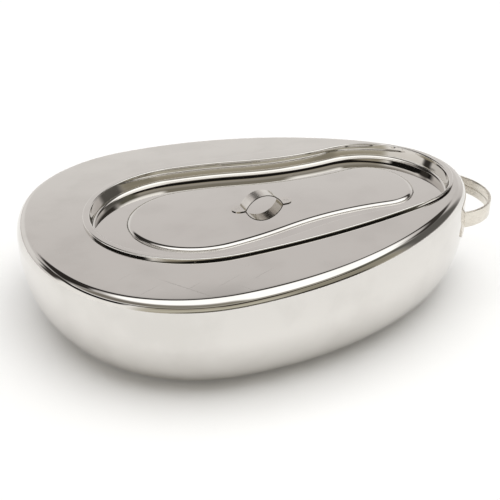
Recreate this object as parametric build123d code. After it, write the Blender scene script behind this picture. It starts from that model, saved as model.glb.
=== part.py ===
"""A stainless steel bedpan with a lift-off cover.

The pan is two pressings, a bowl and a seat, butt-welded round their widest line and ground
flush. A strap handle is spot-welded to its narrow end. The cover is a dish that drops into the
opening of the seat and hangs on its rim, with an arched strip spot-welded to it to lift it by.

Everything is laid out in the frame of the seat: x runs from the wide end to the handle, y across,
and z up from the seat's face. At the end it is all leaned back, so that the base is level and the
seat rises to the handle.
"""
import os
from math import asin, atan, cos, degrees, pi, radians, sin, tan

from build123d import *

os.makedirs("parts", exist_ok=True)

# Driving dimensions, in mm and degrees.

# An outline starts at its wide tip, on the x axis, and runs through arcs of (radius, turn). A
# negative radius bends the other way. A last arc, centred on the x axis, closes it at the narrow tip.
SEAT_START = -131.0
SEAT_ARCS = [(184.0, 22.0), (108.0, 65.5), (289.0, 35.0), (225.0, 15.0)]
RIM_START = -90.0
RIM_ARCS = [(87.0, 90.0), (610.0, 15.6)]
DISH_START = -83.5
DISH_ARCS = [(80.5, 95.0), (300.0, 11.0), (-190.0, 24.0), (54.0, 71.0)]

# The pan. The seat outline is the edge of its flat face. The dish outline is the inside of the cover's
# dish.
PAN_SHEET = 1.0
SEAT_TILT = 2.9
SHOULDER_RADIUS = 7.5
SKIRT = 0.5  # the upright edge of the seat, below its shoulder
SEAM_HEIGHT = 2.0
SEAM_PENETRATION = 0.4  # how far the seam weld stands proud inside
BASE_DEPTH = 81.0  # below the seat's face, at x = 0
BASE_INSET = 43.0  # from the widest line in to the edge of the flat base
DEPTH_POWER = 2.7  # a higher power keeps the wall upright for longer
INSET_POWER = 2.2  # a higher power turns it under more sharply
WALL_STATIONS = 9
NECK_DEPTH = 11.0
NECK_BEND = 2.0
NECK_CLEARANCE = 1.2  # round the cover's dish

# The cover.
COVER_SHEET = 0.8
RIM_HEIGHT = 2.2  # above the seat's face
RIM_BEND = 0.9
SEATING_GAP = 0.05  # under the rim's turned-down edge, which rests on the seat
DISH_DEPTH = 11.2
DISH_CORNER = 2.5
GUTTER_WIDTH = 26.5
PLATEAU_RISE = 2.2
STEP_BEND = 1.2

# The arched strip that lifts the cover.
LIFTER_X = 50.0
LIFTER_STRIP = 0.7
LIFTER_WIDTH = 12.0
LIFTER_SPAN = 32.0
LIFTER_RISE = 10.5
LIFTER_EAR = 9.0

# The strap handle, a half ring of strip with its edges folded in until they meet.
HANDLE_X = 201.0
HANDLE_RADIUS = 48.0
HANDLE_TOP = 27.0  # below the seat's face, at the handle's tip
HANDLE_RISE = 4.8  # how steeply the strap climbs from its tip to its feet
HANDLE_HEIGHT = 13.5
HANDLE_THICKNESS = 2.0
FOLD_RADIUS = 0.9
HEM_GAP = 0.6
FOOT_TOP = 21.5
FOOT_HEIGHT = 17.0
FOOT_LENGTH = 16.0
FOOT_SHEET = 1.0
FOOT_CORNER = 3.0

# Spot welds, each a nugget through the upper sheet and half of the one below it.
NUGGET_RADIUS = 2.0
FOOT_NUGGET_SPACING = 9.0

SEAM_TOP = SHOULDER_RADIUS + SKIRT
SEAM_BOTTOM = SEAM_TOP + SEAM_HEIGHT
DISH_FLOOR = RIM_HEIGHT - DISH_DEPTH
PLATEAU_TOP = DISH_FLOOR + PLATEAU_RISE
NECK_INSIDE = COVER_SHEET + NECK_CLEARANCE


def outline(start_x, arcs, offset=0.0):
    """A closed outline, mirrored about the x axis, with every arc moved outwards by offset."""
    x, y, heading = start_x, 0.0, 90.0
    upper = []
    for radius, turn in arcs:
        bend = 1 if radius > 0 else -1
        centre_x = x + radius * sin(radians(heading))
        centre_y = y - radius * cos(radians(heading))
        upper.append(CenterArc((centre_x, centre_y), abs(radius + offset), heading + 90 * bend, -turn * bend))
        heading -= turn * bend
        x = centre_x - radius * sin(radians(heading))
        y = centre_y + radius * cos(radians(heading))
    last_radius = y / cos(radians(heading))
    last_centre = x + last_radius * sin(radians(heading))
    upper.append(CenterArc((last_centre, 0), last_radius + offset, heading + 90, -heading - 90))
    lower = [mirror(arc, about=Plane.XZ) for arc in reversed(upper)]
    return Wire([arc.edge() for arc in upper + lower])


def slab(start_x, arcs, offset, bottom, top):
    """A flat plate that fills an outline, between two heights."""
    return extrude(Pos(0, 0, bottom) * Face(outline(start_x, arcs, offset)), top - bottom, dir=(0, 0, 1))


def edges_at(part, height):
    """The edges of a part that lie flat at a height."""
    return part.edges().filter_by_position(Axis.Z, height - 0.001, height + 0.001)


# --- the pan ---------------------------------------------------------------------------------

def bowl_form(growth):
    """The solid inside the bowl's outer face, grown by an amount on its side and its base.

    Its sections swing from the seam's plane, parallel to the seat, to the plane of the base.
    """
    height = BASE_DEPTH + growth - SEAM_BOTTOM
    sections = []
    for station in range(WALL_STATIONS + 1):
        share = sin(pi / 2 * station / WALL_STATIONS) ** (2 / DEPTH_POWER)
        inset = (BASE_INSET + growth) * (1 - (1 - share**DEPTH_POWER) ** (1 / INSET_POWER))
        swing = degrees(atan(share * tan(radians(SEAT_TILT))))
        section = outline(SEAT_START, SEAT_ARCS, SHOULDER_RADIUS + growth - inset)
        sections.append(Pos(0, 0, -SEAM_BOTTOM - share * height) * Rot(0, swing, 0) * section)
    return Solid.make_loft(sections)


def seat_form(growth):
    """The solid inside the seat's outer face, with its rounded shoulder, down to the top of the seam."""
    block = slab(SEAT_START, SEAT_ARCS, SHOULDER_RADIUS + growth, -SEAM_TOP, growth)
    return fillet(edges_at(block, growth), SHOULDER_RADIUS + growth)


def make_bowl():
    """The bowl, open at the top, where the seam weld sits on its edge."""
    return bowl_form(0) - bowl_form(-PAN_SHEET)


def make_seat():
    """The seat: a flat ring with a rounded shoulder and a neck turned down round its opening."""
    skin = seat_form(0) - seat_form(-PAN_SHEET)
    neck = slab(DISH_START, DISH_ARCS, NECK_INSIDE + PAN_SHEET, -NECK_DEPTH, 0)
    seat = skin + neck - slab(DISH_START, DISH_ARCS, NECK_INSIDE, -NECK_DEPTH, 0)
    for height, radius in ((0, NECK_BEND), (-PAN_SHEET, NECK_BEND - PAN_SHEET)):
        flat = seat.faces().filter_by(Plane.XY).filter_by_position(Axis.Z, height - 0.01, height + 0.01)[0]
        seat = fillet(flat.inner_wires()[0].edges(), radius)
    return seat


def make_seam():
    """The weld that joins the seat to the bowl, flush outside and a little proud inside."""
    outside = slab(SEAT_START, SEAT_ARCS, SHOULDER_RADIUS, -SEAM_BOTTOM, -SEAM_TOP)
    inside = SHOULDER_RADIUS - PAN_SHEET - SEAM_PENETRATION
    return outside - slab(SEAT_START, SEAT_ARCS, inside, -SEAM_BOTTOM, -SEAM_TOP)


# --- the strap handle ------------------------------------------------------------------------

def ring(inner, outer, bottom, top):
    """An upright ring about the centre of the handle's bend."""
    band = Circle(outer) - Circle(inner)
    return Pos(HANDLE_X, 0, bottom) * extrude(band, top - bottom)


def make_strap():
    """The bent strip, with its rounded folds and the slit where the folded edges meet inside."""
    inner = HANDLE_RADIUS - HANDLE_THICKNESS / 2
    outer = HANDLE_RADIUS + HANDLE_THICKNESS / 2
    bottom = -HANDLE_TOP - HANDLE_HEIGHT
    middle = bottom + HANDLE_HEIGHT / 2
    tip_x = HANDLE_X + outer
    strap = ring(inner, outer, bottom, -HANDLE_TOP)
    strap = fillet(edges_at(strap, bottom) + edges_at(strap, -HANDLE_TOP), FOLD_RADIUS)
    strap -= ring(inner - 1, HANDLE_RADIUS, middle - HEM_GAP / 2, middle + HEM_GAP / 2)
    outer_half = Box(outer * 2, outer * 3, outer, align=(Align.MIN, Align.CENTER, Align.CENTER))
    strap &= Pos(HANDLE_X, 0, middle) * outer_half
    return Pos(tip_x, 0, middle) * Rot(0, HANDLE_RISE, 0) * Pos(-tip_x, 0, -middle) * strap


def foot_planes():
    """The plane of each foot, square to the bowl's wall there, with its x axis along the wall."""
    tip = outline(SEAT_START, SEAT_ARCS, SHOULDER_RADIUS).edges().sort_by(Axis.X)[-1]
    middle = asin(HANDLE_RADIUS / tip.radius) + FOOT_LENGTH / 2 / tip.radius
    height = -FOOT_TOP - FOOT_HEIGHT / 2
    planes = []
    for turn in (middle, -middle):
        along = (-sin(turn), cos(turn), 0)
        outwards = (cos(turn), sin(turn), 0)
        planes.append(Plane((tip.arc_center.X, 0, height), x_dir=along, z_dir=outwards))
    return planes


def foot_prisms(sketch):
    """A sketch on each foot, run outwards through the bowl's wall."""
    return [extrude(plane * sketch, HANDLE_X) for plane in foot_planes()]


def make_handle():
    """The strap and its two feet, which lie on the bowl's wall and point away from each other."""
    plate = bowl_form(FOOT_SHEET)
    foot = RectangleRounded(FOOT_LENGTH + HANDLE_THICKNESS, FOOT_HEIGHT, FOOT_CORNER)
    feet = [plate & prism for prism in foot_prisms(foot)]
    return make_strap() + feet - bowl_form(0)


def make_handle_nuggets():
    """Two spot welds through each foot and into the bowl's wall."""
    spots = Sketch() + [Pos(0, side * FOOT_NUGGET_SPACING / 2) * Circle(NUGGET_RADIUS) for side in (-1, 1)]
    depth = bowl_form(FOOT_SHEET) - bowl_form(-PAN_SHEET / 2)
    return [depth & prism for prism in foot_prisms(spots)]


# --- the cover -------------------------------------------------------------------------------

def make_cover():
    """The dish, its raised middle and its rim, all one sheet."""
    under_rim = RIM_HEIGHT - COVER_SHEET
    under_dish = DISH_FLOOR - COVER_SHEET
    rim = slab(RIM_START, RIM_ARCS, 0, SEATING_GAP, RIM_HEIGHT)
    rim = fillet(edges_at(rim, RIM_HEIGHT), RIM_BEND)
    rim -= slab(RIM_START, RIM_ARCS, -COVER_SHEET, SEATING_GAP, under_rim)
    dish = slab(DISH_START, DISH_ARCS, COVER_SHEET, under_dish, RIM_HEIGHT)
    dish = fillet(edges_at(dish, under_dish), DISH_CORNER + COVER_SHEET)
    hollow = slab(DISH_START, DISH_ARCS, 0, DISH_FLOOR, RIM_HEIGHT)
    hollow = fillet(edges_at(hollow, DISH_FLOOR), DISH_CORNER)
    plateau = slab(DISH_START, DISH_ARCS, -GUTTER_WIDTH, under_dish, PLATEAU_TOP)
    plateau = fillet(edges_at(plateau, PLATEAU_TOP), STEP_BEND)
    under_plateau = PLATEAU_TOP - COVER_SHEET
    recess = slab(DISH_START, DISH_ARCS, -GUTTER_WIDTH - COVER_SHEET, under_dish - 1, under_plateau)
    recess = fillet(edges_at(recess, under_plateau), STEP_BEND - COVER_SHEET / 2)
    return rim + dish - hollow + plateau - recess


def make_lifter():
    """The arched strip, with a rounded ear at each end that lies on the cover's raised middle."""
    outer = ((LIFTER_SPAN / 2) ** 2 + LIFTER_RISE**2) / (2 * LIFTER_RISE)
    centre = LIFTER_RISE - outer
    length = LIFTER_SPAN + 2 * LIFTER_EAR
    ears = Pos(0, LIFTER_STRIP / 2) * Rectangle(length, LIFTER_STRIP)
    above = Pos(0, LIFTER_RISE) * Rectangle(length, 2 * LIFTER_RISE)
    profile = (Pos(0, centre) * Circle(outer) + ears - Pos(0, centre) * Circle(outer - LIFTER_STRIP)) & above
    strip = extrude(Plane.XZ * profile, LIFTER_WIDTH / 2, both=True)
    strip &= extrude(SlotOverall(length, LIFTER_WIDTH), LIFTER_RISE)
    return Pos(LIFTER_X, 0, PLATEAU_TOP) * strip


def make_lifter_nuggets():
    """One spot weld through each ear and into the cover."""
    bottom = PLATEAU_TOP - COVER_SHEET / 2
    spot = Pos(0, 0, bottom) * extrude(Circle(NUGGET_RADIUS), COVER_SHEET / 2 + LIFTER_STRIP)
    reach = LIFTER_SPAN / 2 + LIFTER_EAR / 2
    return [Pos(LIFTER_X + side * reach, 0, 0) * spot for side in (-1, 1)]


# --- assembly --------------------------------------------------------------------------------

handle_nuggets = make_handle_nuggets()
lifter_nuggets = make_lifter_nuggets()
pieces = {
    "pan_bowl": make_bowl() - handle_nuggets,
    "pan_seat": make_seat(),
    "pan_seam_weld": make_seam(),
    "pan_handle": make_handle() - handle_nuggets,
    "pan_handle_spot_welds": Compound(handle_nuggets),
    "cover": make_cover() - lifter_nuggets,
    "cover_handle": make_lifter() - lifter_nuggets,
    "cover_handle_spot_welds": Compound(lifter_nuggets),
}
level = Rot(0, -SEAT_TILT, 0)
box = Compound([level * piece for piece in pieces.values()]).bounding_box()
stand = Pos(-box.center().X, 0, -box.min.Z)
for name, piece in pieces.items():
    export_step(stand * level * piece, f"parts/{name}.step")
print("Overall size, in mm:", box.size)
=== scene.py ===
from math import asin, cos, degrees, radians, sin, sqrt, tan

import bpy
import numpy as np
from mathutils import Euler, Matrix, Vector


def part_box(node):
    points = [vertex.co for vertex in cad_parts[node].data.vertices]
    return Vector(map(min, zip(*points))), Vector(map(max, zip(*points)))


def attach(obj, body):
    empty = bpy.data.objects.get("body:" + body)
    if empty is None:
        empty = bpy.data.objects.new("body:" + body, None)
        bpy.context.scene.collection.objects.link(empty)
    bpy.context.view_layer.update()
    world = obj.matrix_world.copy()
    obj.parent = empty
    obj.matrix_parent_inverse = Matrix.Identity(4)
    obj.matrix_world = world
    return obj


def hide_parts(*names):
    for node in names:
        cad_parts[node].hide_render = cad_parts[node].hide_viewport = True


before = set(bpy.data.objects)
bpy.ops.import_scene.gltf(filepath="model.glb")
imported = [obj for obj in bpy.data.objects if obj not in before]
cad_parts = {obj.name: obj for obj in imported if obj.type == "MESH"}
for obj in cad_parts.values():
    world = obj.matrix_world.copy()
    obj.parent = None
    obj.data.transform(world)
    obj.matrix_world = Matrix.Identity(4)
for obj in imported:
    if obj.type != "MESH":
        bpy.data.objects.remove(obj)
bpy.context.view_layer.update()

# ---------------------------------------------------------------------------------------------------------
# Dimensions, in mm and degrees, in the frame of the seat: x runs from the wide end to the handle, y across,
# and z up from the seat's face. An outline starts at its wide tip, on the x axis, and runs through arcs of
# (radius, turn), where a negative radius bends outwards. A last arc, centred on the x axis, closes it at the
# narrow tip.
# ---------------------------------------------------------------------------------------------------------
SEAT_START = -131.0
SEAT_ARCS = [(184.0, 22.0), (108.0, 65.5), (289.0, 35.0), (225.0, 15.0)]
RIM_START = -90.0
RIM_ARCS = [(87.0, 90.0), (610.0, 15.6)]
DISH_START = -83.5
DISH_ARCS = [(80.5, 95.0), (300.0, 11.0), (-190.0, 24.0), (54.0, 71.0)]
EASING = 36.0  # length over which one arc's curvature passes into the next
DISH_EASING = 24.0

PAN_SHEET = 1.0
SEAT_TILT = 2.9
SHOULDER_RADIUS = 7.5
SHOULDER_DEPTH = 11.0
SEAM_TOP = 8.0
SEAM_BOTTOM = 10.0
SEAM_PENETRATION = 0.4
BASE_DEPTH = 81.0
BASE_INSET = 43.0
BASE_MIDDLE = 40.0  # along x
DEPTH_POWER = 2.7
INSET_POWER = 2.2
NECK_DEPTH = 11.0
NECK_BEND = 2.0
NECK_INSIDE = 2.0

COVER_SHEET = 0.8
RIM_HEIGHT = 2.2
RIM_BEND = 0.9
RIM_BEND_LOSS = 0.6  # share of the sheet's thickness by which the bend is tighter on the underside
SEATING_GAP = 0.05
MOUTH_BEND = 1.0
MOUTH_BEND_LOSS = 0.5
MOUTH_BEND_END = 172.0  # short of 180, to meet the leaning wall
WALL_FLARE = 0.65  # how far the dish's wall leans out at its top
DISH_FLOOR = -9.0
DISH_CORNER = 2.5
GUTTER_WIDTH = 26.5
PLATEAU_TOP = -6.8
PLATEAU_MIDDLE = 50.0  # along x
STEP_BEND = 3.8  # across the rounded edge of the raised middle
STEP_DROP = 2.0  # down it
STEP_FOOT = 0.2  # radius of the hollow at its foot

# Sampling: points round an outline, then rings across each stretch of a profile.
AROUND = 384
FINE = 8192  # points round an outline while its curvature is eased
MERGE = 1e-4  # points closer than this become one
CLOSE = 0.3  # from a bend to the nearest ring of the straight beside it
GUTTER_EDGE = 0.8  # from the dish's corner to the gutter's first ring
GUTTER_INNER_EDGE = 2.6  # from its last ring to the raised middle
BEND_RINGS = 9
ROUND_RINGS = 13
SHOULDER_RINGS = 27
BOWL_RINGS = 40
BASE_RINGS = 10
STEP_FOOT_RINGS = 7
STEP_RINGS = 15
NECK_LEVELS = (-NECK_DEPTH, -8.0, -5.0, -NECK_BEND - CLOSE)
SEAM_LEVELS = (SEAM_TOP + 0.7, SEAM_TOP + 1.3, SEAM_BOTTOM)
FACE_SHARES = (0.04, 0.35, 0.65, 0.9, 0.97)
RIM_SHARES = (0.06, 0.5, 0.94)
WALL_SHARES = (0.12, 0.25, 0.4, 0.6, 0.8)
PLATEAU_SHARES = (0.985, 0.75, 0.5, 0.25, 0.1, 0.0)

# Where the seat's frame stands in the shared frame: leaned back about y, with the base on the floor.
LEAN = radians(SEAT_TILT)
TIP_X = SEAT_START - SHOULDER_RADIUS
SHIFT_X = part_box("pan_seam_weld")[0].x * 1000 - (TIP_X * cos(LEAN) + SEAM_TOP * sin(LEAN))
SHIFT_Z = BASE_DEPTH * cos(LEAN)

# ---------------------------------------------------------------------------------------------------------
# The studio, in metres and degrees, in the shared frame. The camera looks along a bearing of 66 degrees,
# counted from +x towards +y, so panels near -114 stand behind it and panels near 66 stand behind the pan.
# ---------------------------------------------------------------------------------------------------------
CAMERA_PLACE = (-0.33472, -0.76334, 0.43795)
CAMERA_TURN = (radians(64.27), radians(-1.24), radians(-22.10))
CAMERA_LENS = 83.74
CAMERA_SENSOR = 36
CAMERA_REACH = 20

FLOOR_REACH = 40.0
FLOOR_GAP = 0.0002  # under the base, so that the two faces do not fight
FLOOR_COLOUR = (0.9, 0.9, 0.9, 1)
FLOOR_ROUGHNESS = 0.9
FLOOR_SHEEN = 0.1
FLOOR_GLOW = 0.04
LAMP_STRENGTH = 1.0
LAMP_SPREAD = 70

TENT = (0.70, 0.67, 0.655)
WHITE = (1.5, 1.5, 1.48)
PALE = (0.86, 0.84, 0.82)
LIGHT_KHAKI = (0.62, 0.59, 0.49)
KHAKI = (0.47, 0.43, 0.34)
DEEP_KHAKI = (0.34, 0.315, 0.25)
DARK_KHAKI = (0.30, 0.28, 0.23)
BROWN = (0.23, 0.21, 0.18)
OLIVE = (0.16, 0.155, 0.12)
UMBER = (0.16, 0.15, 0.125)
SLATE = (0.13, 0.125, 0.115)
COAL = (0.05, 0.045, 0.04)
BLACK = (0.012, 0.011, 0.01)

# Each panel: bearing, half width and side blur, bottom, top and their blur, colour, and how far it covers
# what was laid before it. Left and right are as the camera sees them.
PANELS = [
    # the light overhead
    (0, 180, 0, 57, 90, 4, WHITE, 1),
    # low behind the pan
    (90, 50, 20, 5, 24, 3, PALE, 1),
    # on the left, white below and brown above
    (-178, 38, 8, -5, 32, 2, (1.1, 1.08, 1.05), 1),
    (-165, 50, 12, 34, 52, 4, BROWN, 1),
    # the wall behind the camera, with a lighter band low down and a darker one high up
    (-85, 62, 12, 0, 32, 3, KHAKI, 1),
    (-85, 62, 12, 4, 17, 4, LIGHT_KHAKI, 1),
    (-85, 62, 12, 33, 50, 4, DARK_KHAKI, 1),
    # darker parts of that wall, on the right
    (-22, 14, 6, 24, 40, 3, OLIVE, 1),
    (-40, 20, 8, 4, 23, 3, DEEP_KHAKI, 1),
    # the dark foot of the wall
    (-78, 40, 12, -8, 7, 2, UMBER, 1),
    (-48, 12, 6, -8, 7, 2, (0.05, 0.045, 0.035), 1),
    # the light overhead reaches lower on the right
    (-10, 60, 15, 45, 60, 3, WHITE, 1),
    (-34, 37, 6, 38, 60, 2.5, WHITE, 1),
    # the thin black strip that draws the line round the cover's rim
    (-120, 88, 5, 25.2, 29.5, 0.7, BLACK, 1),
    (-76, 15, 5, 22, 26, 1, BLACK, 0.85),
    (162, 38, 6, 19, 28.5, 1.5, BLACK, 1),
    # dark panels on the right and behind the pan
    (0, 18, 6, 2, 32, 3, SLATE, 1),
    (30, 32, 8, 31, 40, 2, COAL, 1),
    (97, 42, 8, 31, 50, 2, (0.03, 0.027, 0.024), 1),
    (78, 26, 8, 44, 59, 3, (0.08, 0.075, 0.07), 1),
    (139, 6, 4, 8, 30, 3, COAL, 1),
]


def to_shared(points):
    """Points of the seat's frame, in mm, as points of the shared frame, in metres."""
    x, y, z = np.asarray(points, float).T
    placed = (x * cos(LEAN) - z * sin(LEAN) + SHIFT_X, y, x * sin(LEAN) + z * cos(LEAN) + SHIFT_Z)
    return np.stack(placed, axis=-1) / 1000


def turn_to_shared(normals):
    """Directions of the seat's frame in the shared frame."""
    x, y, z = np.asarray(normals, float).T
    return np.stack((x * cos(LEAN) - z * sin(LEAN), y, x * sin(LEAN) + z * cos(LEAN)), axis=-1)


# ---------------------------------------------------------------------------------------------------------
# Outlines
# ---------------------------------------------------------------------------------------------------------
class Outline:
    """A smooth closed curve: its points, its outward normals, and copies of it moved outwards."""

    def __init__(self, start_x, arcs, easing=EASING):
        ends, turned, span = self.headings(start_x, arcs)
        length = ends[-1]
        s = (np.arange(FINE) + 0.5) / FINE * length
        heading = np.interp(s, ends, turned)
        # A moving average of the heading eases the curvature from one arc into the next.
        width = max(3, int(easing / length * FINE))
        window = np.hanning(width + 2)[1:-1]
        window /= window.sum()
        total = turned[-1] - turned[0]
        padded = np.concatenate((heading[-width:] - total, heading, heading[:width] + total))
        heading = np.convolve(padded, window, "same")[width:-width]
        step = np.radians(heading)
        dx, dy = np.cos(step), np.sin(step)
        # The mean is taken off, so that the eased curve still closes.
        dx, dy = dx - dx.mean(), dy - dy.mean()
        x = np.concatenate(([0], np.cumsum(dx))) * length / FINE
        y = np.concatenate(([0], np.cumsum(dy))) * length / FINE
        grid = np.linspace(0, length, FINE + 1)
        at = np.arange(AROUND) / AROUND * length
        edge = np.concatenate(([0], s, [length]))
        tips = np.concatenate(([turned[0]], heading, [turned[0] + total]))
        angle = np.radians(np.interp(at, edge, tips))
        # Easing shortens the curve by less than a millimetre, which is shared between its two ends.
        drift = (span - (x.max() - x.min())) / 2
        self.points = np.stack((start_x + drift + np.interp(at, grid, x), np.interp(at, grid, y)), axis=-1)
        self.normals = np.stack((-np.sin(angle), np.cos(angle)), axis=-1)

    def headings(self, start_x, arcs):
        """Lengths so far and headings, in degrees, at the ends of the arcs, and the whole span along x."""
        x, y, heading = start_x, 0.0, 90.0
        for radius, turn in arcs:
            bend = 1 if radius > 0 else -1
            centre = (x + radius * sin(radians(heading)), y - radius * cos(radians(heading)))
            heading -= turn * bend
            x = centre[0] - radius * sin(radians(heading))
            y = centre[1] + radius * cos(radians(heading))
        last = y / cos(radians(heading))
        span = x + last * sin(radians(heading)) + last - start_x
        full = list(arcs) + [(last, 2 * (heading + 90))] + list(reversed(arcs))
        length, turned = [0.0], [90.0]
        for radius, turn in full:
            length.append(length[-1] + abs(radius) * radians(turn))
            turned.append(turned[-1] - turn * (1 if radius > 0 else -1))
        return np.array(length), np.array(turned), span

    def ring(self, offset, height, slope=0.0):
        """The curve moved outwards, at a height that may change along x."""
        flat = self.points + offset * self.normals
        return np.column_stack((flat, height + slope * flat[:, 0]))


seat_edge = Outline(SEAT_START, SEAT_ARCS)
rim_edge = Outline(RIM_START, RIM_ARCS)
dish_edge = Outline(DISH_START, DISH_ARCS, DISH_EASING)


def shrunk(ring, share, middle):
    """A ring shrunk towards a point."""
    return np.asarray(middle) + share * (ring - np.asarray(middle))


def between(first, second, shares):
    """Rings at shares of the way from one ring to another."""
    return [first + (second - first) * share for share in shares]


def arc_steps(start, end, count):
    """Angles in radians from start to end, in degrees, both included."""
    return np.radians(np.linspace(start, end, count))


def bend_rings(outline, offset, height, radius, start, end, count=BEND_RINGS):
    """Rings round a bend whose centre is at an offset and a height."""
    steps = arc_steps(start, end, count)
    return [outline.ring(offset + radius * cos(a), height + radius * sin(a)) for a in steps]


# ---------------------------------------------------------------------------------------------------------
# Skins: meshes of rings, with exact normals so that polished faces reflect without facets
# ---------------------------------------------------------------------------------------------------------
class Skin:
    """A mesh put together from sheets of rings. Sheets that share an edge meet at a sharp corner."""

    def __init__(self):
        self.points, self.faces, self.corners = [], [], []
        self.count = 0

    def sheet(self, rings, normals=None):
        """Quads between successive rings. Normals follow from the rings unless they are given."""
        rings = np.asarray(rings, float)
        if normals is None:
            normals = ring_normals(rings)
        rows, around = rings.shape[:2]
        base = self.count
        self.points.append(rings.reshape(-1, 3))
        self.count += rows * around
        for i in range(rows - 1):
            for j in range(around):
                k = (j + 1) % around
                quad = (i * around + j, i * around + k, (i + 1) * around + k, (i + 1) * around + j)
                self.faces.append([base + q for q in quad])
                self.corners.append([normals[q // around, q % around] for q in quad])

    def build(self, name):
        """The mesh object in the shared frame, with shared edges joined and its normals kept."""
        points = np.concatenate(self.points)
        keys = {}
        index = np.empty(len(points), int)
        kept = []
        for i, key in enumerate(map(tuple, np.round(points / MERGE).astype(np.int64))):
            if key not in keys:
                keys[key] = len(kept)
                kept.append(i)
            index[i] = keys[key]
        faces, normals = [], []
        for face, corner in zip(self.faces, self.corners):
            loop = [int(index[v]) for v in face]
            clean = [(v, n) for k, (v, n) in enumerate(zip(loop, corner)) if v != loop[k - 1]]
            if len(clean) >= 3 and len({v for v, _ in clean}) == len(clean):
                faces.append([v for v, _ in clean])
                normals += [n for _, n in clean]
        mesh = bpy.data.meshes.new(name)
        mesh.from_pydata(to_shared(points[kept]).tolist(), [], faces)
        mesh.polygons.foreach_set("use_smooth", [True] * len(faces))
        mesh.normals_split_custom_set(turn_to_shared(np.array(normals)).tolist())
        mesh.validate()
        piece = bpy.data.objects.new(name, mesh)
        bpy.context.scene.collection.objects.link(piece)
        return piece


def ring_normals(rings):
    """Unit normals of a sheet of rings, to the left of the way the rings run."""
    along = np.roll(rings, -1, axis=1) - np.roll(rings, 1, axis=1)
    across = np.gradient(rings, axis=0)
    normals = np.cross(along, across)
    size = np.linalg.norm(normals, axis=2, keepdims=True)
    return normals / np.maximum(size, 1e-12)


# ---------------------------------------------------------------------------------------------------------
# The pan. A face moved out by growth is the outer face at 0 and the inner face at -PAN_SHEET.
# ---------------------------------------------------------------------------------------------------------
def shoulder_offset(depth, growth):
    """How far out the skin stands at a depth, down the quarter ellipse of the shoulder and below it."""
    share = min(1, (depth + growth) / (SHOULDER_DEPTH + growth))
    return (SHOULDER_RADIUS + growth) * sqrt(1 - (1 - share) ** 2)


def seat_profile(growth):
    """Rings up the neck, over its bend and the flat face, and down the shoulder to the seam."""
    inner = NECK_INSIDE - growth
    bend = NECK_BEND + growth
    rings = [dish_edge.ring(inner, level) for level in NECK_LEVELS]
    rings += bend_rings(dish_edge, inner + bend, growth - bend, bend, 180, 90, ROUND_RINGS)
    mouth = dish_edge.ring(inner + bend, growth)
    edge = seat_edge.ring(0, growth)
    rings += between(mouth, edge, FACE_SHARES)
    last = degrees(asin(1 - SEAM_TOP / SHOULDER_DEPTH))
    for a in arc_steps(90, last, SHOULDER_RINGS):
        depth = (SHOULDER_DEPTH + growth) * (1 - sin(a)) - growth
        rings.append(seat_edge.ring(shoulder_offset(depth, growth), -depth))
    return rings


def bowl_inset(share, growth):
    """How far in the bowl's wall stands at a share of its depth."""
    return (BASE_INSET + growth) * (1 - (1 - share**DEPTH_POWER) ** (1 / INSET_POWER))


def bowl_profile(growth):
    """Rings down the bowl's wall from the seam to the edge of the base."""
    rings = []
    depth = BASE_DEPTH + growth - SEAM_BOTTOM
    for a in arc_steps(0, 90, BOWL_RINGS):
        share = sin(a) ** (2 / DEPTH_POWER)
        offset = shoulder_offset(SEAM_BOTTOM + share * depth, growth) - bowl_inset(share, growth)
        rings.append(seat_edge.ring(offset, -SEAM_BOTTOM - share * depth, -share * tan(LEAN)))
    return rings


def base_profile(edge, growth):
    """Rings in from the edge of the base to its middle, laid exactly on its plane."""
    rings = [shrunk(edge, share, (BASE_MIDDLE, 0, 0)) for share in np.linspace(1, 0, BASE_RINGS)]
    for ring in rings:
        ring[:, 2] = -BASE_DEPTH - growth - ring[:, 0] * tan(LEAN)
    return rings


def seam_bead():
    """Rings round the half-round bead of the weld, which bulges into the pan."""
    middle = (SEAM_TOP + SEAM_BOTTOM) / 2
    half_height = (SEAM_BOTTOM - SEAM_TOP) / 2
    inner = SHOULDER_RADIUS - PAN_SHEET
    bead = []
    for a in arc_steps(-90, 90, BEND_RINGS):
        bead.append(seat_edge.ring(inner - SEAM_PENETRATION * cos(a), half_height * sin(a) - middle))
    return bead


def make_pan():
    """The seat, the seam and the bowl, whose outer faces run into one another."""
    seat_out = seat_profile(0)
    seam_out = [seat_edge.ring(shoulder_offset(level, 0), -level) for level in SEAM_LEVELS]
    bowl_out = bowl_profile(0)
    outside = np.array(seat_out + seam_out + bowl_out[1:])
    normals = ring_normals(outside)
    seam_start = len(seat_out) - 1
    bowl_start = seam_start + len(seam_out)

    seat = Skin()
    seat.sheet(outside[:seam_start + 1], normals[:seam_start + 1])
    seat_in = np.array(seat_profile(-PAN_SHEET))
    seat.sheet(seat_in[::-1])
    seat.sheet([outside[seam_start], seat_in[-1]])
    seat.sheet([seat_in[0], outside[0]])

    seam = Skin()
    seam.sheet(outside[seam_start:bowl_start + 1], normals[seam_start:bowl_start + 1])
    bead = seam_bead()
    seam.sheet(bead)
    seam.sheet([outside[bowl_start], bead[0]])
    seam.sheet([bead[-1], outside[seam_start]])

    bowl = Skin()
    bowl.sheet(outside[bowl_start:], normals[bowl_start:])
    bowl_in = np.array(bowl_profile(-PAN_SHEET))
    bowl.sheet(bowl_in[::-1])
    bowl.sheet([bowl_in[0], outside[bowl_start]])
    bowl.sheet(base_profile(outside[-1], 0))
    bowl.sheet(base_profile(bowl_in[-1], -PAN_SHEET)[::-1])
    return seat.build("seat"), seam.build("seam_weld"), bowl.build("bowl")


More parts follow.
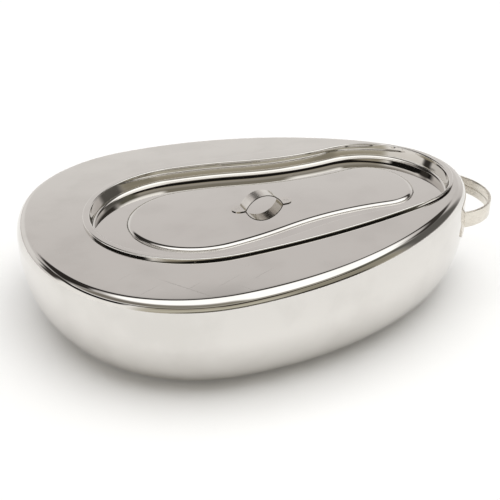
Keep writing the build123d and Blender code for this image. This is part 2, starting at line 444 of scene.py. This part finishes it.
# ---------------------------------------------------------------------------------------------------------
# The cover
# ---------------------------------------------------------------------------------------------------------
def cover_profile(drop):
    """Rings from the rim's lower edge in to the middle, on the sheet's upper face or drop below it."""
    top = RIM_HEIGHT - drop
    bend = RIM_BEND - drop * RIM_BEND_LOSS
    rings = [rim_edge.ring(-drop, SEATING_GAP), rim_edge.ring(-drop, SEATING_GAP + CLOSE)]
    rings += bend_rings(rim_edge, -drop - bend, top - bend, bend, 0, 90)

    mouth_bend = MOUTH_BEND - drop * MOUTH_BEND_LOSS
    mouth = drop + WALL_FLARE + mouth_bend
    rings += between(rings[-1], dish_edge.ring(mouth, top), RIM_SHARES)
    rings += bend_rings(dish_edge, mouth, top - mouth_bend, mouth_bend, 90, MOUTH_BEND_END)

    floor = DISH_FLOOR - drop
    corner = DISH_CORNER + drop
    wall_top = top - mouth_bend
    for share in WALL_SHARES:
        height = wall_top + (floor + corner - wall_top) * share
        rings.append(dish_edge.ring(drop + WALL_FLARE * (1 - share) ** 2, height))
    rings += bend_rings(dish_edge, drop - corner, floor + corner, corner, 0, -90, ROUND_RINGS)

    step = -GUTTER_WIDTH - drop
    plateau = PLATEAU_TOP - drop
    gutter = (drop - corner - GUTTER_EDGE, -GUTTER_WIDTH / 2, step + GUTTER_INNER_EDGE)
    rings += [dish_edge.ring(offset, floor) for offset in gutter]
    foot = step + STEP_FOOT
    rings += bend_rings(dish_edge, foot, floor + STEP_FOOT, STEP_FOOT, 270, 180, STEP_FOOT_RINGS)
    for a in arc_steps(0, 90, STEP_RINGS):
        rings.append(dish_edge.ring(step - STEP_BEND * (1 - cos(a)), plateau - STEP_DROP * (1 - sin(a))))
    middle = (PLATEAU_MIDDLE, 0, plateau)
    edge = rings[-1]
    rings += [shrunk(edge, share, middle) for share in PLATEAU_SHARES]
    return np.array(rings)


def make_cover():
    """The cover's sheet: its turned-down rim, its dish, its gutter and its raised middle."""
    skin = Skin()
    above, below = cover_profile(0), cover_profile(COVER_SHEET)
    skin.sheet(above[::-1])
    skin.sheet(below)
    skin.sheet([above[0], below[0]])
    return skin.build("cover_dish")


# ---------------------------------------------------------------------------------------------------------
# Shader nodes
# ---------------------------------------------------------------------------------------------------------
def join(tree, source, target):
    """A link, or a plain value where the source is a number."""
    if isinstance(source, (int, float)):
        target.default_value = source
    else:
        tree.links.new(source, target)


def arithmetic(tree, operation, first, second):
    """Two values put together."""
    node = tree.nodes.new("ShaderNodeMath")
    node.operation = operation
    join(tree, first, node.inputs[0])
    join(tree, second, node.inputs[1])
    return node.outputs[0]


def spread(tree, value, low, high, bottom, top, smooth=False):
    """A value mapped from low..high to bottom..top."""
    node = tree.nodes.new("ShaderNodeMapRange")
    node.interpolation_type = "SMOOTHSTEP" if smooth else "LINEAR"
    join(tree, value, node.inputs["Value"])
    for name, number in (("From Min", low), ("From Max", high), ("To Min", bottom), ("To Max", top)):
        node.inputs[name].default_value = number
    return node.outputs["Result"]


def soft_step(tree, value, low, high):
    """A soft step from 0 at low to 1 at high, or the other way round where low is the larger."""
    return spread(tree, value, low, high, 0.0, 1.0, smooth=True)


def noise(tree, scale, detail, stretch=(1, 1, 1), turn=(0, 0, 0)):
    """Noise in the piece's own coordinates, in metres, stretched along its axes after a turn."""
    coordinates = tree.nodes.new("ShaderNodeTexCoord")
    mapping = tree.nodes.new("ShaderNodeMapping")
    mapping.vector_type = "TEXTURE"
    mapping.inputs["Rotation"].default_value = turn
    mapping.inputs["Scale"].default_value = stretch
    texture = tree.nodes.new("ShaderNodeTexNoise")
    texture.inputs["Scale"].default_value = scale
    texture.inputs["Detail"].default_value = detail
    join(tree, coordinates.outputs["Object"], mapping.inputs["Vector"])
    join(tree, mapping.outputs["Vector"], texture.inputs["Vector"])
    return texture.outputs["Fac"]


def bump(tree, height, depth, below=None):
    """A bump of a depth in metres, laid over another one."""
    node = tree.nodes.new("ShaderNodeBump")
    node.inputs["Strength"].default_value = 1.0
    node.inputs["Distance"].default_value = depth
    join(tree, height, node.inputs["Height"])
    if below is not None:
        join(tree, below, node.inputs["Normal"])
    return node.outputs["Normal"]


def blend_colours(tree, share, first, second):
    """From one colour at 0 to another at 1, where either may be another node's output."""
    node = tree.nodes.new("ShaderNodeMix")
    node.data_type = "RGBA"
    join(tree, share, node.inputs["Factor"])
    for name, colour in (("A", first), ("B", second)):
        if isinstance(colour, tuple):
            node.inputs[name].default_value = (*colour, 1)
        else:
            join(tree, colour, node.inputs[name])
    return node.outputs["Result"]


def hairlines(tree, count, turn, tilt):
    """Long fine scratches, all one way, as a value that is 1 in a scratch and 0 elsewhere."""
    lines = noise(tree, scale=count, detail=3.0, stretch=(60, 1, 60), turn=(0.1 * tilt, 0.2, turn))
    patches = noise(tree, scale=11.0 + tilt, detail=2.0)
    fine = soft_step(tree, lines, 0.66, 0.74)
    return arithmetic(tree, "MULTIPLY", fine, soft_step(tree, patches, 0.45, 0.6))


# ---------------------------------------------------------------------------------------------------------
# Materials, with depths in metres
# ---------------------------------------------------------------------------------------------------------
CLEAN_ROUGHNESS = 0.012
SMUDGED_ROUGHNESS = 0.035
SCRATCH_ROUGHNESS = 0.12
SCRATCH_DEPTH = 0.000004
GRAIN_DEPTH = 0.000012
MOTTLE_DEPTH = 0.00001


def new_metal(name):
    """A metal's material, its node tree and its shader."""
    material = bpy.data.materials.new(name)
    material.use_nodes = True
    shader = material.node_tree.nodes["Principled BSDF"]
    shader.inputs["Metallic"].default_value = 1.0
    return material, material.node_tree, shader


def polished_steel(name, clean, worn, wave):
    """Mirror-polished sheet: faint smudges, hairline scratches and the slight waves of pressed metal."""
    material, tree, shader = new_metal(name)
    film = soft_step(tree, noise(tree, scale=26.0, detail=5.0), 0.42, 0.7)
    finer = hairlines(tree, count=900.0, turn=0.5, tilt=1)
    coarser = hairlines(tree, count=700.0, turn=-0.9, tilt=4)
    scratches = arithmetic(tree, "MAXIMUM", finer, coarser)
    join(tree, blend_colours(tree, film, clean, worn), shader.inputs["Base Color"])
    rough = spread(tree, film, 0.0, 1.0, CLEAN_ROUGHNESS, SMUDGED_ROUGHNESS)
    rough = arithmetic(tree, "ADD", rough, arithmetic(tree, "MULTIPLY", scratches, SCRATCH_ROUGHNESS))
    join(tree, rough, shader.inputs["Roughness"])
    waves = bump(tree, noise(tree, scale=17.0, detail=1.0), wave)
    unscratched = arithmetic(tree, "SUBTRACT", 1.0, scratches)
    join(tree, bump(tree, unscratched, SCRATCH_DEPTH, waves), shader.inputs["Normal"])
    return material


def satin_steel(name, clean, worn, grain, gloss):
    """Strip with a brushed grain, and duller patches where it is handled."""
    material, tree, shader = new_metal(name)
    brushed = noise(tree, scale=2600.0, detail=3.0, stretch=grain)
    patches = noise(tree, scale=60.0, detail=4.0)
    halves = [arithmetic(tree, "MULTIPLY", part, 0.5) for part in (brushed, patches)]
    shade = arithmetic(tree, "ADD", *halves)
    wear = spread(tree, shade, 0.38, 0.62, 0.0, 1.0)
    join(tree, blend_colours(tree, wear, clean, worn), shader.inputs["Base Color"])
    join(tree, spread(tree, shade, 0.3, 0.7, *gloss), shader.inputs["Roughness"])
    join(tree, bump(tree, brushed, GRAIN_DEPTH), shader.inputs["Normal"])
    return material


def weld_steel(name, clean, tinted):
    """Weld metal ground back: mottled, with a faint straw tint from the heat."""
    material, tree, shader = new_metal(name)
    mottle = noise(tree, scale=900.0, detail=4.0)
    tint = soft_step(tree, mottle, 0.35, 0.65)
    join(tree, blend_colours(tree, tint, clean, tinted), shader.inputs["Base Color"])
    join(tree, spread(tree, mottle, 0.3, 0.7, 0.12, 0.26), shader.inputs["Roughness"])
    join(tree, bump(tree, mottle, MOTTLE_DEPTH), shader.inputs["Normal"])
    return material


pan_steel = polished_steel(
    "polished_pan", clean=(0.725, 0.707, 0.68), worn=(0.68, 0.662, 0.635), wave=0.00012
)
cover_steel = polished_steel(
    "polished_cover", clean=(0.73, 0.712, 0.686), worn=(0.69, 0.67, 0.645), wave=0.00008
)
strap_steel = satin_steel(
    "satin_strap", clean=(0.78, 0.74, 0.67), worn=(0.68, 0.64, 0.57), grain=(40, 40, 1), gloss=(0.2, 0.34)
)
strip_steel = satin_steel(
    "satin_strip", clean=(0.74, 0.715, 0.68), worn=(0.66, 0.635, 0.60), grain=(40, 1, 40), gloss=(0.06, 0.14)
)
spot_steel = weld_steel("weld_metal", clean=(0.74, 0.715, 0.68), tinted=(0.66, 0.635, 0.60))

# The sheet pieces stand in for their CAD nodes; the handles and the spot welds are the CAD's own.
seat, seam, bowl = make_pan()
cover = make_cover()
for piece, node, body, steel in (
    (seat, "pan_seat", "pan", pan_steel),
    (seam, "pan_seam_weld", "pan", pan_steel),
    (bowl, "pan_bowl", "pan", pan_steel),
    (cover, "cover", "lid", cover_steel),
):
    piece.data.materials.append(steel)
    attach(piece, body)
    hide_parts(node)
for name, steel in (
    ("pan_handle", strap_steel),
    ("pan_handle_spot_welds", spot_steel),
    ("cover_handle", strip_steel),
    ("cover_handle_spot_welds", spot_steel),
):
    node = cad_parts[name]
    node.data.materials.clear()
    node.data.materials.append(steel)


# ---------------------------------------------------------------------------------------------------------
# The camera, the floor and the light
# ---------------------------------------------------------------------------------------------------------
def make_camera():
    """The scene's camera, with everything in focus."""
    data = bpy.data.cameras.new("camera")
    data.sensor_width = CAMERA_SENSOR
    data.lens = CAMERA_LENS
    data.clip_end = CAMERA_REACH
    camera = bpy.data.objects.new("camera", data)
    camera.matrix_world = Matrix.Translation(CAMERA_PLACE) @ Euler(CAMERA_TURN).to_matrix().to_4x4()
    bpy.context.scene.collection.objects.link(camera)
    bpy.context.scene.camera = camera


def make_floor():
    """A pale floor that glows faintly, like a light table."""
    reach, low = FLOOR_REACH, -FLOOR_GAP
    corners = [(-reach, -reach, low), (reach, -reach, low), (reach, reach, low), (-reach, reach, low)]
    mesh = bpy.data.meshes.new("floor")
    mesh.from_pydata(corners, [], [(0, 1, 2, 3)])
    floor = bpy.data.objects.new("floor", mesh)
    bpy.context.scene.collection.objects.link(floor)
    material = bpy.data.materials.new("pale_floor")
    material.use_nodes = True
    shader = material.node_tree.nodes["Principled BSDF"]
    shader.inputs["Base Color"].default_value = FLOOR_COLOUR
    shader.inputs["Roughness"].default_value = FLOOR_ROUGHNESS
    shader.inputs["Specular IOR Level"].default_value = FLOOR_SHEEN
    shader.inputs["Emission Color"].default_value = (1, 1, 1, 1)
    shader.inputs["Emission Strength"].default_value = FLOOR_GLOW
    mesh.materials.append(material)


def flat_bearing(tree, direction):
    """A direction laid level, as a unit vector."""
    level = tree.nodes.new("ShaderNodeVectorMath")
    level.operation = "MULTIPLY"
    level.inputs[1].default_value = (1, 1, 0)
    join(tree, direction, level.inputs[0])
    bearing = tree.nodes.new("ShaderNodeVectorMath")
    bearing.operation = "NORMALIZE"
    join(tree, level.outputs[0], bearing.inputs[0])
    return bearing.outputs[0]


def across_panel(tree, bearing, azimuth, half_width, blur):
    """1 within a half width of an azimuth and 0 outside it."""
    towards = tree.nodes.new("ShaderNodeVectorMath")
    towards.operation = "DOT_PRODUCT"
    towards.inputs[1].default_value = (cos(radians(azimuth)), sin(radians(azimuth)), 0)
    join(tree, bearing, towards.inputs[0])
    outer = cos(radians(min(180, half_width + blur)))
    inner = cos(radians(max(0, half_width - blur)))
    return soft_step(tree, towards.outputs["Value"], outer, inner)


def make_world():
    """A pale tent with panels round it, each laid over the ones before."""
    world = bpy.data.worlds.new("studio")
    world.use_nodes = True
    bpy.context.scene.world = world
    tree = world.node_tree
    direction = tree.nodes.new("ShaderNodeTexCoord").outputs["Generated"]
    split = tree.nodes.new("ShaderNodeSeparateXYZ")
    join(tree, direction, split.inputs[0])
    height = split.outputs["Z"]
    bearing = flat_bearing(tree, direction)
    colour = TENT
    for azimuth, half_width, side_blur, low, high, blur, tint, cover_share in PANELS:
        weight = soft_step(tree, height, sin(radians(low - blur)), sin(radians(low + blur)))
        if high < 90:
            edge = soft_step(tree, height, sin(radians(min(90, high + blur))), sin(radians(high - blur)))
            weight = arithmetic(tree, "MULTIPLY", weight, edge)
        if half_width < 180:
            sides = across_panel(tree, bearing, azimuth, half_width, side_blur)
            weight = arithmetic(tree, "MULTIPLY", weight, sides)
        weight = arithmetic(tree, "MULTIPLY", weight, cover_share)
        colour = blend_colours(tree, weight, colour, tint)
    join(tree, colour, tree.nodes["Background"].inputs["Color"])


def make_lamp():
    """A soft lamp overhead that lights the floor and stays out of the reflections."""
    data = bpy.data.lights.new("overhead", "SUN")
    data.energy = LAMP_STRENGTH
    data.angle = radians(LAMP_SPREAD)
    lamp = bpy.data.objects.new("overhead", data)
    lamp.visible_glossy = False
    bpy.context.scene.collection.objects.link(lamp)


bpy.context.scene.view_settings.view_transform = "Standard"
make_camera()
make_floor()
make_world()
make_lamp()
